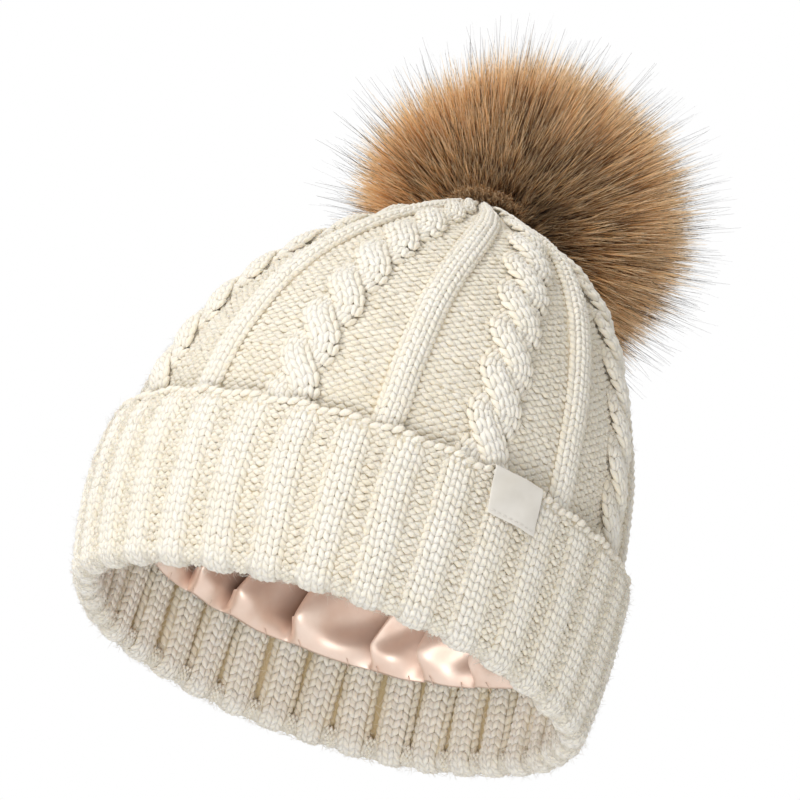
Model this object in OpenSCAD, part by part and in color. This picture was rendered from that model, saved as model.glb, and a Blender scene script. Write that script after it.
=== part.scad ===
// Pom pom beanie: a cable-knit crown on a turned-up rib cuff, lined with
// satin, with a fur pompom on a press-stud at the gathered top.
// The hat stands on its folded rim: +Z is up along the hat's axis, the
// origin is the centre of the rim plane and the wearer's face looks to -Y.
// The pompom is flopped to the back (+Y). All sizes are millimetres.

/* [Cuff] */
// Widest outside diameter of the turned-up cuff
cuff_d = 203; // [196:1:212]
// Height from the folded rim to the cuff's top edge
cuff_h = 67; // [62:1:72]
// Thickness of one layer of knit
knit_t = 5.5; // [5:0.1:5.7]

/* [Crown] */
// Height from the folded rim to the gathered top of the crown
crown_top = 187; // [180:1:196]
// Roundness of the crown: 2 is an ellipse, less is more pointed
crown_power = 1.7; // [1.6:0.05:1.9]

/* [Lining] */
// Height of the lining's hem above the folded rim
hem_z = 30; // [26:1:36]
// Depth of the folded hem
hem_h = 9; // [7:1:12]
// Thickness of the satin with its slack, one layer
satin_t = 1; // [0.8:0.1:1.2]
// Number of hem stitches
hem_stitches = 40; // [24:4:56]

/* [Label] */
// Width of the folded satin label
label_w = 21; // [16:1:26]
// Height of the label's front flap
label_h = 17.5; // [14:0.5:20]
// Angle from the front centre round to the wearer's left
label_turn = 27; // [20:1:35]

/* [Pompom] */
// Outside diameter of the dense fur
fur_d = 124; // [116:2:124]
// Diameter of the stuffed ball that the fur is sewn into
core_d = 36; // [32:1:36]
// Distance from the tilt bar to the middle of the ball
reach = 38; // [36:1:40]
// Angle of the pompom's stalk above the horizontal as it lies back
rest_lift = 5; // [5:1:20]
// Heading of the flopped pompom from straight back towards +X
heading = 15; // [0:5:30]

/* [Press-stud] */
// Radius of the stud's ball
ball_r = 2.4; // [2:0.1:2.8]
// Outside radius of the socket
socket_r = 5; // [4.6:0.1:5.2]
// Running clearance of the stud and of the tilt bar
run = 0.08; // [0.05:0.01:0.1]

/* [Hidden] */
$fn = 96;

// Colours of the materials
cream = "#efe6d4";
cream_shade = "#dccfb6";
satin = "#e3c3b0";
satin_white = "#e6e2da";
thread = "#d8b7a2";
steel = "#b9bbbd";
felt = "#e9e2d2";
fur_tan = "#a07c57";
hide = "#7c6248";
wadding = "#f2f0ea";

// Cuff, fold and band
gap = 0.4;                        // air between layers that lie on each other
fold_h = 6;                       // height of the rolled fold
fold_round = 4.5;                 // radius of the fold's bottom edges
cuff_mid_z = 42;                  // height at which the cuff is widest
cuff_belly = 3.5;                 // how much narrower the cuff is at the fold
edge_h = 2.6;                     // height of the cast-on edge
rim_out = cuff_d/2 - cuff_belly;  // outside radius at the fold
crown_r = cuff_d/2 - 8.5;         // outside radius of the crown's base
band_r = rim_out - knit_t - 0.5;  // outside radius of the band at the fold
rim_in = band_r - knit_t;         // inside radius at the fold
band_top = cuff_h - 1;            // where the band runs into the crown

// Crown and lining domes
crown_inside = crown_top - knit_t - 1;
seat_r = 8;                       // flat seat under the press-stud
patch_r = 10;
patch_t = 1.2;
hole_r = 4;                       // hole left at the top when the crown is gathered
dome_steps = 12;
lining_top = crown_inside - patch_t - gap;
tack_r = 1;

// Press-stud, tilt bar and pompom, heights from the rim plane
plate_t = 0.8;
plate_r = 7.5;
ball_z = crown_top + 3.1;
spring_wire = 0.35;
socket_low = crown_top + 1.3;
socket_top = crown_top + 5.6;
bore_r = ball_r + run;
pivot_z = crown_top + 7.4;
bar_r = 0.7;
neck_low = 8;                     // the neck's end, measured from the tilt bar
neck_r = 6;
skin_t = 1;                       // thickness of the fur's backing fabric
tilt_range = 90 - rest_lift;
clear = 2;                        // air between the fur and the crown it lies on
tilt_steps = 4;                   // steps of tilt at which the crown's place is cut out

// Radius of a layer at height z
function cuff_out(z) = cuff_d/2 - cuff_belly*pow((z - cuff_mid_z)/(cuff_mid_z - fold_h), 2);
function cuff_in(z) = cuff_out(z) - knit_t;
function band_out(z) = band_r + (crown_r - band_r)*(z - fold_h)/(band_top - fold_h);
function band_in(z) = band_out(z) - knit_t;

// Points of a dome of base radius r that rises from height z0 to top, ending
// before radius stop: a superellipse, [radius, height]
function dome(r, z0, top, stop) =
    [for (i = [0:dome_steps])
        let (t = 90*i/dome_steps,
             x = r*pow(cos(t), 2/crown_power),
             z = z0 + (top - z0)*pow(sin(t), 2/crown_power))
        if (x > stop) [x, z]];

function reversed(list) = [for (i = [len(list) - 1:-1:0]) list[i]];

// Arc of radius r about c, from angle a to b
function arc(c, r, a, b, steps = 6) =
    [for (i = [0:steps]) let (t = a + (b - a)*i/steps) c + r*[cos(t), sin(t)]];

// Things in the pompom's own frame: origin on the tilt bar, +Z up its stalk
module at_pompom() {
    translate([0, 0, pivot_z]) rotate([0, 0, -heading]) rotate([-tilt_range, 0, 0]) children();
}

// A thing of the hat's turned about the tilt bar
module about_tilt_bar(angle) {
    translate([0, 0, pivot_z]) rotate([0, 0, -heading]) rotate([angle, 0, 0])
        translate([0, 0, -pivot_z]) children();
}

// A revolved piece that covers part of the round, centred on angle at
module sector(at, span) {
    rotate([0, 0, at - span/2]) rotate_extrude(angle = span) children();
}

// ---- Knit ----

module crown_knit() {
    color(cream) rotate_extrude()
        polygon(concat(
            dome(crown_r, band_top, crown_top, seat_r + 3),
            [[seat_r, crown_top], [hole_r, crown_top], [hole_r, crown_inside],
             [patch_r + 0.5, crown_inside]],
            reversed(dome(crown_r - knit_t, band_top, crown_inside, patch_r + 4))));
}

module rib_band() {
    color(cream_shade) rotate_extrude()
        polygon([[rim_in, fold_h], [band_r, fold_h], [crown_r, band_top],
                 [crown_r - knit_t, band_top]]);
}

// The outer layer of the cuff with the rolled fold that it turns up from
module turn_up_cuff() {
    low = [fold_h:6:cuff_h - edge_h - 2];
    top = cuff_h - edge_h;
    color(cream) rotate_extrude()
        polygon(concat(
            arc([rim_in + fold_round, fold_round], fold_round, 180, 270),
            arc([rim_out - fold_round, fold_round], fold_round, 270, 360),
            [for (z = low) [cuff_out(z), z]],
            [[cuff_out(top), top], [cuff_in(top), top]],
            reversed([for (z = low) [cuff_in(z), z]]),
            [[rim_in, fold_h]]));
}

// Chain of stitches that ends the cuff
module cuff_cast_on_edge() {
    low = cuff_h - edge_h;
    mid = (cuff_out(low) + cuff_in(low))/2;
    half = knit_t/2;
    color(cream) rotate_extrude()
        polygon(concat([[mid - half, low], [mid + half, low]],
                       arc([mid + half - 1.3, low + 1.3], 1.3, 0, 90),
                       arc([mid - half + 1.3, low + 1.3], 1.3, 90, 180)));
}

// Yarn drawn through the last stitches to close the crown
module crown_gather_yarn() {
    color(cream_shade) translate([0, 0, crown_inside + gap]) difference() {
        cylinder(h = crown_top - crown_inside - 2*gap, r = hole_r);
        translate([0, 0, -1]) cylinder(h = crown_top, r = hole_r/2);
    }
}

// ---- Lining ----

// One half of the lining: a half dome with its hem folded under
module lining_panel(at) {
    base = band_in(band_top) - gap;
    hem_top = hem_z + hem_h;
    color(satin) sector(at, 180)
        polygon(concat(
            [[band_in(hem_z) - gap - 2*satin_t, hem_z], [band_in(hem_z) - gap, hem_z]],
            dome(base, band_top, lining_top, 5),
            [[tack_r + run, lining_top], [tack_r + run, lining_top - satin_t]],
            reversed(dome(base - satin_t, band_top, lining_top - satin_t, 5)),
            [[band_in(hem_top) - gap - satin_t, hem_top + 0.5],
             [band_in(hem_top) - gap - 2*satin_t, hem_top]]));
}

module lining_front_panel() { lining_panel(-90); }

module lining_back_panel() { lining_panel(90); }

// Small stitches along the folded hem, on its inner face
module lining_hem_stitches() {
    z = hem_z + 3;
    r = band_in(hem_z) - gap - 2*satin_t;
    color(thread) for (i = [0:hem_stitches - 1])
        sector(360*(i + 0.5)/hem_stitches, 2.4)
            translate([r - 0.5, z]) square([0.5, 0.9]);
}

// Thread that holds the top of the lining to the patch inside the crown
module lining_tack() {
    color(thread) {
        translate([0, 0, lining_top - satin_t - 1])
            cylinder(h = satin_t + 1 + gap, r = tack_r);
        translate([0, 0, lining_top - satin_t - 1.2]) sphere(r = 1.2);
    }
}

// ---- Label ----

// Satin ribbon folded over the cuff's top edge, a flap on each side
module side_label() {
    tape = 0.6;
    out = cuff_out(cuff_h - label_h) + 0.3;
    in = cuff_in(cuff_h) - 0.2;
    over = cuff_h + 0.2;
    color(satin_white) sector(label_turn - 90, label_w/out*180/PI)
        polygon([[out, over - label_h], [out + tape, over - label_h], [out + tape, over + tape],
                 [in - tape, over + tape], [in - tape, over - label_h + 4],
                 [in, over - label_h + 4], [in, over], [out, over]]);
}

// Row of stitches through the label's lower edge
module label_stitches() {
    r = cuff_out(cuff_h - label_h) + 0.9;
    n = 7;
    pitch = label_w/r*180/PI/n;
    color(satin_white) for (i = [0:n - 1])
        sector(label_turn - 90 + (i - (n - 1)/2)*pitch, pitch*0.6)
            translate([r, cuff_h + 0.2 - label_h + 1.2]) square([0.3, 0.5]);
}

// ---- Press-stud ----

// Felt patch inside the crown that the stud is sewn through to
module stud_backing_patch() {
    color(felt) translate([0, 0, crown_inside - patch_t]) cylinder(h = patch_t, r = patch_r);
}

module press_stud() {
    neck = ball_r - 0.7;
    color(steel) difference() {
        rotate_extrude()
            polygon([[0, crown_top], [plate_r, crown_top], [plate_r, crown_top + plate_t],
                     [neck, crown_top + plate_t], [neck, ball_z - 0.9], [ball_r, ball_z - 0.4],
                     [ball_r, ball_z + 0.5], [neck, ball_z + 1.1], [0, ball_z + 1.2]]);
        for (a = [45:90:315]) rotate([0, 0, a]) translate([6, 0, crown_top - 1])
            cylinder(h = 3, r = 0.5, $fn = 24);
    }
}

// Four stitches from the stud's holes over its edge
module stud_stitches() {
    color(thread) for (a = [45:90:315]) rotate([0, 0, a])
        translate([5.6, -0.4, crown_top + plate_t]) cube([2.2, 0.8, 0.6]);
}

// Sprung ring in the socket that grips the stud
module snap_spring() {
    color(steel) rotate_extrude()
        translate([bore_r + spring_wire, ball_z]) circle(r = spring_wire, $fn = 24);
}

module snap_socket() {
    color(steel) difference() {
        translate([0, 0, socket_low]) cylinder(h = socket_top - socket_low, r = socket_r);
        translate([0, 0, socket_low - 1]) cylinder(h = ball_z + 1.7 - socket_low + 1, r = bore_r);
        translate([0, 0, ball_z - 0.5])
            cylinder(h = 1, r = bore_r + 2*spring_wire + 0.2);
    }
}

// Bar and its two posts on the socket, which the pompom's thread goes round
module tilt_bar() {
    color(steel) translate([0, 0, pivot_z]) rotate([0, 0, -heading]) {
        rotate([0, 90, 0]) cylinder(h = 3.2, r = bar_r, center = true, $fn = 32);
        for (side = [-1, 1]) translate([side*2.2, 0, (socket_top - pivot_z + 0.9)/2])
            cube([1.2, 1.8, pivot_z - socket_top + 0.9], center = true);
    }
}

// ---- Pompom ----

// Wound thread: a loop round the tilt bar, a stalk and the knot on its end
module thread_shank() {
    washer_top = neck_low + skin_t + 1.2;
    color(thread) at_pompom() {
        difference() {
            union() {
                rotate([0, 90, 0]) cylinder(h = 2.8, r = 1.5, center = true, $fn = 32);
                cylinder(h = washer_top, r = 1.1, $fn = 32);
            }
            rotate([0, 90, 0]) cylinder(h = 4, r = bar_r + run, center = true, $fn = 32);
        }
        translate([0, 0, washer_top]) cylinder(h = 3, r = 2.2, $fn = 32);
    }
}

// Plastic washer that keeps the knot from pulling through the fabric
module shank_washer() {
    color("white") at_pompom() translate([0, 0, neck_low + skin_t]) difference() {
        cylinder(h = 1.2, r = neck_r - skin_t - 0.2);
        translate([0, 0, -1]) cylinder(h = 4, r = 1.1 + run, $fn = 32);
    }
}

// The fur's woven backing: a circle of fabric gathered into a ball with a neck
module pompom_backing() {
    color(hide) at_pompom() difference() {
        union() {
            translate([0, 0, reach]) sphere(d = core_d);
            translate([0, 0, neck_low]) cylinder(h = reach - neck_low, r = neck_r);
        }
        translate([0, 0, reach]) sphere(r = core_d/2 - skin_t);
        translate([0, 0, neck_low + skin_t]) cylinder(h = reach - neck_low, r = neck_r - skin_t);
        cylinder(h = reach, r = 1.1 + run, $fn = 32);
    }
}

// Thread wound round the gathered neck
module backing_tie() {
    color(thread) at_pompom() translate([0, 0, neck_low + 4]) rotate_extrude()
        translate([neck_r + 0.65, 0]) circle(r = 0.6, $fn = 24);
}

// Ball of fibre filling with a plug that fills the neck
module pompom_stuffing() {
    plug_low = neck_low + skin_t + 5;
    color(wadding) at_pompom() {
        translate([0, 0, reach]) sphere(r = core_d/2 - skin_t - 0.2);
        translate([0, 0, plug_low]) cylinder(h = reach - plug_low, r = neck_r - skin_t - 0.2);
    }
}

// Cuts the crown's place out of the children at steps of the tilt: two balls
// on the hat's axis, turned with it, stand for the crown's top
module clear_of_crown(step) {
    turn = -tilt_range*step/tilt_steps;
    if (step < 0) children();
    else difference() {
        clear_of_crown(step - 1) children();
        about_tilt_bar(turn) translate([0, 0, crown_top - 47]) sphere(r = 47 + clear);
        about_tilt_bar(turn) translate([0, 0, crown_top - 79]) sphere(r = crown_r - 19.5 + clear);
    }
}

// The mass of the fur: a ball, hollow for its core, its neck and the socket,
// and clear of the crown from lying back to upright
module pompom_fur() {
    color(fur_tan) clear_of_crown(tilt_steps) at_pompom() difference() {
        translate([0, 0, reach]) sphere(d = fur_d);
        translate([0, 0, reach]) sphere(r = core_d/2 + 0.3);
        translate([0, 0, -reach]) cylinder(h = 2*reach, r = neck_r + 2);
        sphere(r = neck_low + 1);
    }
}

crown_knit();
rib_band();
turn_up_cuff();
cuff_cast_on_edge();
crown_gather_yarn();
lining_front_panel();
lining_back_panel();
lining_hem_stitches();
lining_tack();
side_label();
label_stitches();
stud_backing_patch();
press_stud();
stud_stitches();
snap_spring();
snap_socket();
tilt_bar();
thread_shank();
shank_washer();
pompom_backing();
backing_tie();
pompom_stuffing();
pompom_fur();
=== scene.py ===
import math

import bmesh
import bpy
import numpy as np
from mathutils import Matrix, Vector


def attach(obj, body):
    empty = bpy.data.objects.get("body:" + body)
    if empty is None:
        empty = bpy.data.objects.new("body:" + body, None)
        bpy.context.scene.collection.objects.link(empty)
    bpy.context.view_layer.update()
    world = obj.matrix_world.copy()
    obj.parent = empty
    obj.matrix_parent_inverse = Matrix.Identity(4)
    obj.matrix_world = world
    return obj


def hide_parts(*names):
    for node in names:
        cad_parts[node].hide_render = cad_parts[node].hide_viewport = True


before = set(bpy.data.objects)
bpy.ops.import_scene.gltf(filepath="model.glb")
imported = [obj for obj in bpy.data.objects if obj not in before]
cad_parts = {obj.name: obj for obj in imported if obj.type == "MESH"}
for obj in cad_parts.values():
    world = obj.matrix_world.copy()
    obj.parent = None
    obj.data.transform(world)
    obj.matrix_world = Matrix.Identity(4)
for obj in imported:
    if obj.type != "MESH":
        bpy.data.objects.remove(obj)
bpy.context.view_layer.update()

# ---- Studio ----
# A plain pale floor that the hat stands on, a white surround and soft lamps.
# The camera looks up at the hat's face from below, and the hat leans.

scene = bpy.context.scene
scene.view_settings.view_transform = "Standard"
MM = 0.001


def linear(code, alpha=1.0):
    """An sRGB hex colour as linear red, green, blue and alpha."""
    parts = [int(code[i:i + 2], 16) / 255 for i in (1, 3, 5)]
    return [c / 12.92 if c <= 0.04045 else ((c + 0.055) / 1.055) ** 2.4 for c in parts] + [alpha]


def add_node(tree, kind, sockets=None, **settings):
    """Adds a node; each socket is given a value, or is joined to the output given."""
    new = tree.nodes.new(kind)
    for name, value in settings.items():
        setattr(new, name, value)
    for key, value in (sockets or {}).items():
        if isinstance(value, bpy.types.NodeSocket):
            tree.links.new(value, new.inputs[key])
        else:
            new.inputs[key].default_value = value
    return new


def blank_material(name):
    """A node material with nothing in it yet, and its node tree."""
    material = bpy.data.materials.new(name)
    material.use_nodes = True
    material.node_tree.nodes.clear()
    return material, material.node_tree


surround = bpy.data.worlds.new("white_surround")
surround.use_nodes = True
scene.world = surround
sky = surround.node_tree
sky.nodes.clear()
ray = add_node(sky, "ShaderNodeLightPath")
mirrored = add_node(sky, "ShaderNodeMath",
                    {0: ray.outputs["Is Glossy Ray"], 1: ray.outputs["Is Transmission Ray"]},
                    operation="MAXIMUM")
seen = add_node(sky, "ShaderNodeMath", {0: ray.outputs["Is Camera Ray"], 1: mirrored.outputs[0]},
                operation="MAXIMUM")
glow = add_node(sky, "ShaderNodeBackground", {"Color": linear("#ffffff"), "Strength": 0.6})
white = add_node(sky, "ShaderNodeBackground", {"Color": linear("#ffffff"), "Strength": 1.0})
mixed = add_node(sky, "ShaderNodeMixShader",
                 {0: seen.outputs[0], 1: glow.outputs[0], 2: white.outputs[0]})
add_node(sky, "ShaderNodeOutputWorld", {"Surface": mixed.outputs[0]})

# The floor shows from above and holds the shadow; from below it is clear, and
# lamplight passes it, so that the hat's mouth is lit.
floor_mesh = bmesh.new()
bmesh.ops.create_grid(floor_mesh, x_segments=1, y_segments=1, size=4.0,
                      matrix=Matrix.Translation((0, 0, -2.2 * MM)))
floor_data = bpy.data.meshes.new("floor")
floor_mesh.to_mesh(floor_data)
floor_mesh.free()
floor = bpy.data.objects.new("floor", floor_data)
scene.collection.objects.link(floor)
paper, tree = blank_material("pale_paper_floor")
ray = add_node(tree, "ShaderNodeLightPath")
side = add_node(tree, "ShaderNodeNewGeometry")
front = add_node(tree, "ShaderNodeMath", {0: 1.0, 1: side.outputs["Backfacing"]},
                 operation="SUBTRACT")
solid = add_node(tree, "ShaderNodeMath", {0: front.outputs[0], 1: ray.outputs["Is Camera Ray"]},
                 operation="MULTIPLY")
clear = add_node(tree, "ShaderNodeBsdfTransparent")
matt = add_node(tree, "ShaderNodeBsdfDiffuse", {"Color": linear("#f4f4f2")})
lift = add_node(tree, "ShaderNodeEmission", {"Color": linear("#ffffff"), "Strength": 0.22})
pale = add_node(tree, "ShaderNodeAddShader", {0: matt.outputs[0], 1: lift.outputs[0]})
mixed = add_node(tree, "ShaderNodeMixShader",
                 {0: solid.outputs[0], 1: clear.outputs[0], 2: pale.outputs[0]})
add_node(tree, "ShaderNodeOutputMaterial", {"Surface": mixed.outputs[0]})
floor.data.materials.append(paper)


def lamp(name, place, aim, size, watts):
    """A square soft lamp at place, facing aim."""
    light = bpy.data.lights.new(name, "AREA")
    light.shape = "SQUARE"
    light.size = size
    light.energy = watts
    holder = bpy.data.objects.new(name, light)
    scene.collection.objects.link(holder)
    toward = Vector(aim) - Vector(place)
    holder.matrix_world = (Matrix.Translation(place)
                           @ toward.to_track_quat("-Z", "Y").to_matrix().to_4x4())
    holder.visible_camera = False


lamp("key_lamp", (-1.15, -0.75, 0.95), (0, 0, 0.1), 0.7, 14.0)
lamp("front_lamp", (-0.2, -1.4, -1.0), (0, 0.03, 0.05), 0.7, 14.0)
lamp("back_lamp", (0.7, 1.3, 1.0), (0, 0, 0.12), 0.9, 5.0)

LOOK_UP = math.radians(18.5)
LEAN = math.radians(19.2)
DISTANCE = 1.8
forward = Vector((0, math.cos(LOOK_UP), math.sin(LOOK_UP)))
level_up = Vector((0, -math.sin(LOOK_UP), math.cos(LOOK_UP)))
level_right = Vector((1, 0, 0))
right = math.cos(LEAN) * level_right + math.sin(LEAN) * level_up
up = math.cos(LEAN) * level_up - math.sin(LEAN) * level_right
middle = Vector((-6.5, -32.4, 96.8)) * MM
camera_data = bpy.data.cameras.new("camera")
camera_data.lens = 224
camera_data.sensor_width = 36
camera = bpy.data.objects.new("camera", camera_data)
scene.collection.objects.link(camera)
turned = Matrix((right, up, -forward)).transposed().to_4x4()
camera.matrix_world = Matrix.Translation(middle - DISTANCE * forward) @ turned
scene.camera = camera

# ---- Turned-up cuff ----
# The outer layer of the doubled rib: chunky ivory acrylic yarn in ribs of
# three knit and two purl stitches, turned up over a soft rolled fold.

RIBS = 35               # ribs round the tube
ROW = 3.1               # height of a row of stitches, mm
WALE = 4.0              # width of a knit stitch, mm
CUFF_R = 101.5          # outside radius at the cuff's widest
CUFF_BELLY = 3.5        # how much narrower it is at the fold and the edge
CUFF_MID = 42.0
CUFF_TOP = 63.6
FOLD_R = 92.2           # middle of the rolled fold
FOLD_HALF = 5.8
FOLD_H = 6.3
FOLD_LENGTH = 26.0      # knitting that goes round the fold, mm
BAND_R = 86.4           # inside radius of the band at the fold
BAND_TOP = 66.0
rng = np.random.default_rng(7)


def yarn_material(name, light, shade, sheen):
    """Soft matt acrylic yarn: plied, hairy, with a pale bloom at grazing angles."""
    material, tree = blank_material(name)
    shade_and_tone = add_node(tree, "ShaderNodeAttribute", attribute_name="shade_and_tone")
    place = add_node(tree, "ShaderNodeTexCoord")
    # Felted fibre, 0.5 mm across, drawn a little coarse so that it shows.
    fibre = add_node(tree, "ShaderNodeTexNoise", {"Vector": place.outputs["Object"],
                     "Scale": 1 / (0.9 * MM), "Detail": 3.0, "Roughness": 0.65})
    # Uneven bleaching over a few centimetres.
    cloud = add_node(tree, "ShaderNodeTexNoise", {"Vector": place.outputs["Object"],
                     "Scale": 1 / (35 * MM), "Detail": 2.0})
    lift = add_node(tree, "ShaderNodeMath", {0: fibre.outputs["Fac"], 1: 0.5, 2: -0.25},
                    operation="MULTIPLY_ADD")
    cloudy = add_node(tree, "ShaderNodeMath", {0: cloud.outputs["Fac"], 1: 0.4, 2: -0.2},
                      operation="MULTIPLY_ADD")
    both = add_node(tree, "ShaderNodeMath", {0: lift.outputs[0], 1: cloudy.outputs[0]},
                    operation="ADD")
    # Painted shade: the per-point attribute darkens the yarn toward the shade colour at stitch
    # edges, in the furrows and purl ground and deep in the fabric; the noise is the yarn's own
    # tone.
    amount = add_node(tree, "ShaderNodeMath", {0: shade_and_tone.outputs["Fac"], 1: both.outputs[0]},
                      operation="ADD", use_clamp=True)
    colour = add_node(tree, "ShaderNodeMix", {0: amount.outputs[0], 6: linear(shade),
                      7: linear(light)}, data_type="RGBA")
    # Two plies twisted together run slantwise round each length of yarn.
    around = add_node(tree, "ShaderNodeUVMap", uv_map="yarn")
    split = add_node(tree, "ShaderNodeSeparateXYZ", {0: around.outputs[0]})
    slant = add_node(tree, "ShaderNodeMath", {0: split.outputs[1], 1: 1.6,
                     2: split.outputs[0]}, operation="MULTIPLY_ADD")
    turns = add_node(tree, "ShaderNodeMath", {0: slant.outputs[0], 1: 4 * math.pi},
                     operation="MULTIPLY")
    ply = add_node(tree, "ShaderNodeMath", {0: turns.outputs[0]}, operation="SINE")
    relief = add_node(tree, "ShaderNodeMath", {0: ply.outputs[0], 1: 0.35,
                      2: fibre.outputs["Fac"]}, operation="MULTIPLY_ADD")
    bump = add_node(tree, "ShaderNodeBump", {"Height": relief.outputs[0], "Strength": 0.55,
                    "Distance": 0.3 * MM})
    skin = add_node(tree, "ShaderNodeBsdfPrincipled", {
        "Base Color": colour.outputs[2], "Roughness": 0.9, "Specular IOR Level": 0.15,
        "Subsurface Weight": 0.35, "Subsurface Radius": (1.0, 0.85, 0.65),
        "Subsurface Scale": 1.6 * MM, "Sheen Weight": sheen, "Sheen Roughness": 0.45,
        "Sheen Tint": linear("#fff6e8"), "Normal": bump.outputs[0]})
    add_node(tree, "ShaderNodeOutputMaterial", {"Surface": skin.outputs[0]})
    return material


ivory_yarn = yarn_material("brushed_acrylic_yarn", "#f6efe2", "#e3d6bb", 0.25)
# A darker copy of the yarn, with painted shade, for the fabric that lies deep under the stitches.
shaded_yarn = yarn_material("fabric_yarn_painted_shade", "#f3e9d4", "#c6b28b", 0.1)


def length_of_yarn(along, across, thick, dip, sag=0.0, segments=5, rings=4):
    """A plump length of yarn along Y, its ends dipped in and swept sideways by sag."""
    bm = bmesh.new()
    layer = bm.loops.layers.uv.new("yarn")
    bmesh.ops.create_uvsphere(bm, u_segments=segments, v_segments=rings, radius=1.0,
                              matrix=Matrix.Rotation(math.radians(90), 4, "X"), calc_uvs=True)
    bmesh.ops.triangulate(bm, faces=bm.faces[:])
    bmesh.ops.recalc_face_normals(bm, faces=bm.faces[:])
    for v in bm.verts:
        fullness = (1 - v.co.y ** 2 * 0.25)
        v.co = Vector((v.co.x * across * fullness + sag * v.co.y ** 2, v.co.y * along,
                       v.co.z * thick * fullness - dip * v.co.y ** 2)) / 2
    points = np.array([v.co[:] for v in bm.verts])
    faces = np.array([[v.index for v in f.verts] for f in bm.faces])
    corners = np.array([[loop[layer].uv[:] for loop in f.loops] for f in bm.faces])
    bm.free()
    return points, faces, corners


LEG = length_of_yarn(5.6, 2.5, 2.0, 1.3, segments=6)
BUMP = length_of_yarn(5.6, 2.2, 2.05, 1.7, sag=1.1)


def slump(points):
    """The hat's easy set: it leans off its axis, and the back of its rim flares and waves."""
    x, y, z = points[..., 0], points[..., 1], points[..., 2]
    around = np.arctan2(x, -y)
    low = np.clip(1 - z / 58, 0, 1)
    lean = np.interp(z, [0, 25, 47, 90, 121, 137, 153, 168, 178, 186],
                     [-0.5, -2.6, -3.8, -3.6, -1.7, 0, 2.4, 4.5, 4.0, 0])
    back = np.clip(-np.cos(around), 0, 1) ** 1.5
    wave = 1.1 * np.sin(5 * around + 0.8) + 0.8 * np.sin(9 * around + 2.1)
    outward = (0.6 * wave * np.clip(1 - z / 90, 0, 1) + 8.5 * back * low)[..., None]
    radial = np.stack([x, y, 0 * z], -1) / np.maximum(np.hypot(x, y), 1)[..., None]
    moved = points + radial * outward
    moved[..., 0] += lean
    moved[..., 2] += low * (0.7 * np.sin(3 * around + 1.2) - 1.0 * back)
    # The gathered pleats ride up a little before the press-stud.
    ahead = (0.5 + 0.5 * np.cos(around)) ** 0.7
    near = np.exp(-((np.hypot(x, y) - 12) / 8) ** 2)
    moved[..., 2] += 1.6 * ahead * near * np.clip((z - 179) / 4, 0, 1)
    return moved


class Course:
    """A profile of the knitted tube from its axis, walked in the direction of knitting."""

    def __init__(self, radius, height):
        step = np.hypot(np.diff(radius), np.diff(height))
        self.at = np.concatenate([[0], np.cumsum(step)])
        self.radius, self.height = np.asarray(radius, float), np.asarray(height, float)
        self.length = self.at[-1]
        slope_r, slope_z = np.gradient(self.radius, self.at), np.gradient(self.height, self.at)
        norm = np.hypot(slope_r, slope_z)
        self.slope_r, self.slope_z = slope_r / norm, slope_z / norm

    def frame(self, angle, at, side):
        """Centre, across, along and out at that angle and distance; side is +1 or -1."""
        r, z = np.interp(at, self.at, self.radius), np.interp(at, self.at, self.height)
        tr, tz = np.interp(at, self.at, self.slope_r), np.interp(at, self.at, self.slope_z)
        norm = np.hypot(tr, tz)
        tr, tz = tr / norm, tz / norm
        sin, cos, zero = np.sin(angle), np.cos(angle), 0 * angle
        radial = np.stack([sin, -cos, zero], -1)
        rise = np.array([0, 0, 1.0])
        along = radial * tr[..., None] + rise * tz[..., None]
        out = (radial * tz[..., None] - rise * tr[..., None]) * side
        across = np.cross(along, out)
        return radial * r[..., None] + rise * z[..., None], across, along, out


def set_stitches(shape, centre, across, along, out, roll, turn, size):
    """Copies of a length of yarn, rolled about their run and turned in the fabric's plane."""
    points = shape[0]
    c, s = np.cos(roll)[:, None], np.sin(roll)[:, None]
    x1, z1 = c * across + s * out, c * out - s * across
    c, s = np.cos(turn)[:, None], np.sin(turn)[:, None]
    x2, y2 = c * x1 + s * along, c * along - s * x1
    local = points[None] * size[:, None, :]
    return (centre[:, None] + local[..., 0:1] * x2[:, None] + local[..., 1:2] * y2[:, None]
            + local[..., 2:3] * z1[:, None])


def mesh_piece(name, points, faces, material, body, slot, *stands_for, corners=None, shade_and_tone=None):
    """A piece from points in mm and faces, riding on a body."""
    mesh = bpy.data.meshes.new(name)
    mesh.vertices.add(len(points))
    mesh.vertices.foreach_set("co", (np.asarray(points, float) * MM).ravel())
    size = faces.shape[1]
    mesh.loops.add(faces.size)
    mesh.loops.foreach_set("vertex_index", faces.ravel().astype(np.int32))
    mesh.polygons.add(len(faces))
    mesh.polygons.foreach_set("loop_start", np.arange(0, faces.size, size, dtype=np.int32))
    mesh.update(calc_edges=True)
    mesh.validate()
    mesh.shade_smooth()
    if corners is not None:
        mesh.uv_layers.new(name="yarn").data.foreach_set("uv", corners.ravel())
    if shade_and_tone is not None:
        mesh.attributes.new("shade_and_tone", "FLOAT", "POINT").data.foreach_set("value", shade_and_tone.ravel())
    mesh.materials.append(material)
    made = bpy.data.objects.new(name, mesh)
    scene.collection.objects.link(made)
    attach(made, body)
    if stands_for:
        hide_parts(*stands_for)
    return made


def stitch_piece(name, shape, parts, material, body, slot, *stands_for):
    """One piece from several lots of stitches, each (points, tint per stitch)."""
    points = slump(np.concatenate([lot for lot, _ in parts]))
    shade_and_tone = np.concatenate([np.broadcast_to(t, len(lot)) for lot, t in parts])
    count, each = points.shape[:2]
    faces = (shape[1][None] + each * np.arange(count)[:, None, None]).reshape(-1, 3)
    corners = np.broadcast_to(shape[2][None], (count,) + shape[2].shape)
    shade_and_tone = np.repeat(shade_and_tone[:, None], each, 1)
    return mesh_piece(name, points.reshape(-1, 3), faces, material, body, slot, *stands_for,
                      corners=corners.astype(float), shade_and_tone=shade_and_tone)


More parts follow.
